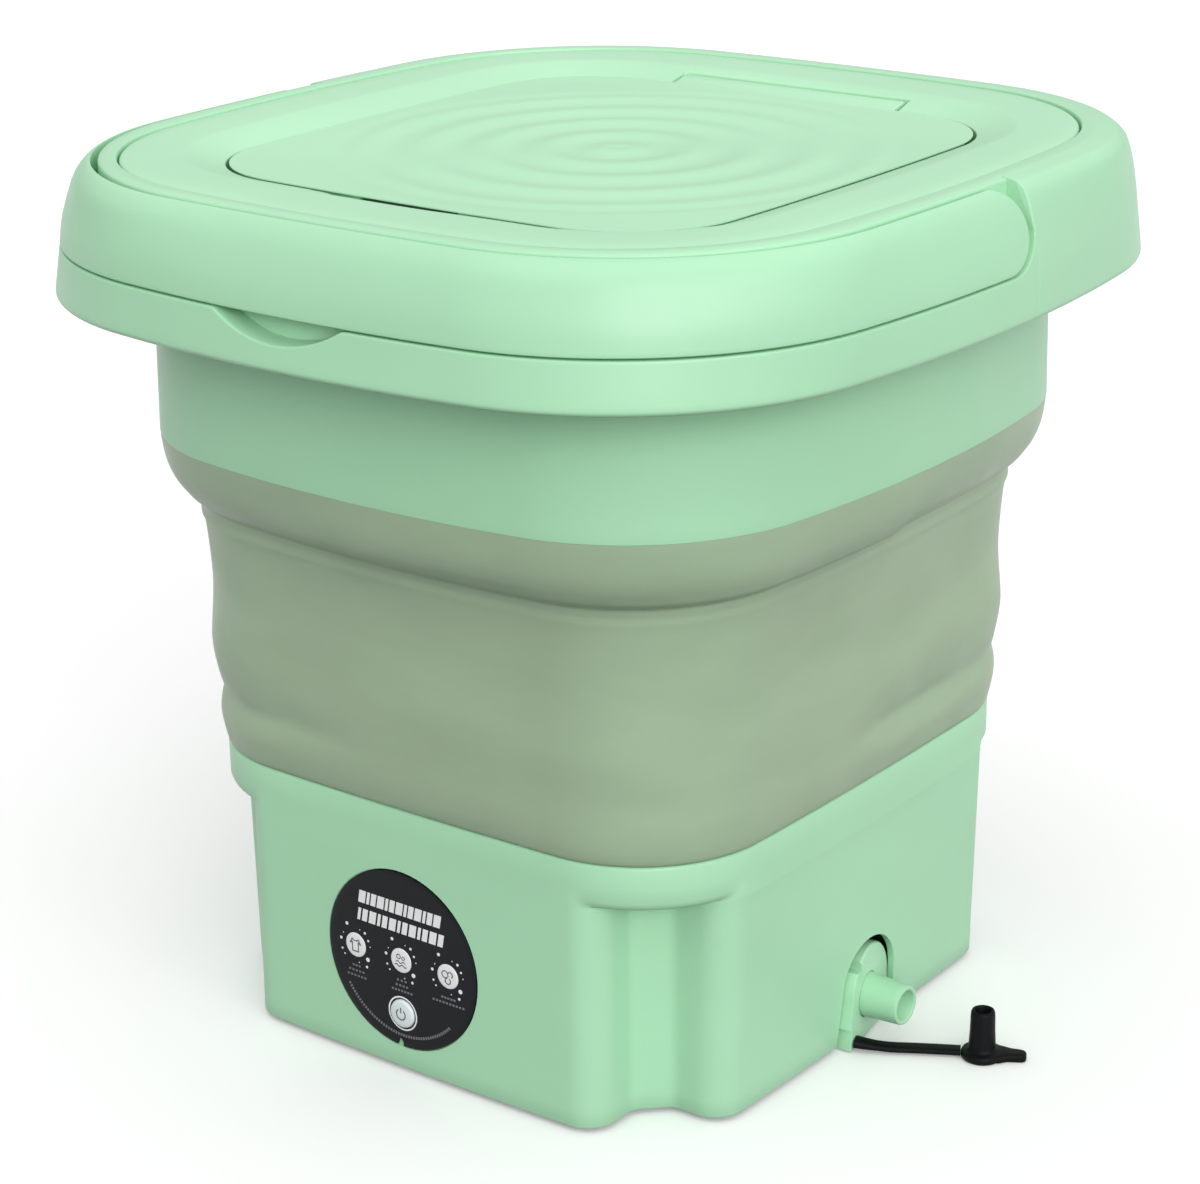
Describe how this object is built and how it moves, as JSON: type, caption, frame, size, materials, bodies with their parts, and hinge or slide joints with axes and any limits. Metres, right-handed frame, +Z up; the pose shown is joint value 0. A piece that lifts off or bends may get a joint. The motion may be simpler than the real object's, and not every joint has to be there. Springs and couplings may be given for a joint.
{
  "type": "portable mini washer",
  "caption": "Folding bucket-style mini washer: square motor base, collapsible rubber tub wall, rim with carry handle, hinged lid door and side drain spout with tethered plug.",
  "frame": {"origin": "centre of the footprint on the surface that the rubber feet stand on", "axes": "+Z up, -Y towards the control panel (front), +X towards the drain spout, +Y towards the lid hinge"},
  "size_m": [0.316, 0.33, 0.2995],
  "materials": {
    "mint_plastic": "satin",
    "lid_plastic": "satin",
    "bellows_rubber": "satin",
    "panel_black": "satin",
    "lamp_white": "gloss",
    "button_white": "satin",
    "black_rubber": "satin",
    "screw_steel": "satin",
    "motor_steel": "satin",
    "shaft_steel": "polished",
    "bush_brass": "satin",
    "board_green": "satin",
    "socket_black": "satin",
    "gearbox_plastic": "satin",
    "seal_grey": "matte"
  },
  "bodies": {
    "base": {"base_housing": "mint_plastic", "bottom_cover": "mint_plastic", "rubber_feet": "black_rubber", "base_screws": "screw_steel", "wash_tub": "mint_plastic", "lower_clamp_ring": "mint_plastic", "bellows": "bellows_rubber", "control_panel": "panel_black", "indicator_lenses": "lamp_white", "control_board": "board_green", "board_screws": "screw_steel", "dc_socket": "socket_black", "motor": "motor_steel", "gearbox_housing": "gearbox_plastic", "motor_bracket": "motor_steel", "motor_screws": "screw_steel", "bearing_bush": "bush_brass", "shaft_seal": "seal_grey", "drain_gasket": "seal_grey", "drain_elbow": "seal_grey", "drain_plate": "mint_plastic", "drain_spout": "mint_plastic", "drain_strap": "black_rubber", "drain_plug": "black_rubber"},
    "rim": {"upper_shell": "mint_plastic", "upper_clamp_ring": "mint_plastic", "rim_frame": "mint_plastic", "rim_screws": "screw_steel", "lid_frame": "lid_plastic", "lid_gasket": "seal_grey", "hinge_pin": "screw_steel"},
    "handle": {"handle": "mint_plastic", "handle_pivots": "screw_steel"},
    "lid_door": {"door_panel": "lid_plastic"},
    "pulsator": {"pulsator": "mint_plastic", "pulsator_screw": "screw_steel", "drive_shaft": "shaft_steel"},
    "power_button": {"power_button": "button_white"}
  },
  "joints": [
    {"name": "fold", "type": "slide", "parent": "base", "child": "rim", "axis": [0, 0, 1], "range_m": [-0.105, 0], "deforming": ["bellows"]},
    {"name": "handle_lift", "type": "hinge", "parent": "rim", "child": "handle", "pos_m": [0, 0, 0.2859], "axis": [-1, 0, 0], "range_deg": [0, 90]},
    {"name": "lid_door_hinge", "type": "hinge", "parent": "rim", "child": "lid_door", "pos_m": [0, 0.108, 0.2932], "axis": [-1, 0, 0], "range_deg": [0, 95]},
    {"name": "pulsator_spin", "type": "hinge", "parent": "base", "child": "pulsator", "pos_m": [0, 0, 0.067], "axis": [0, 0, 1], "continuous": true},
    {"name": "power_button_press", "type": "slide", "parent": "base", "child": "power_button", "axis": [0, 1, 0], "range_m": [0, 0.0008], "stiffness_N_per_m": 400}
  ]
}
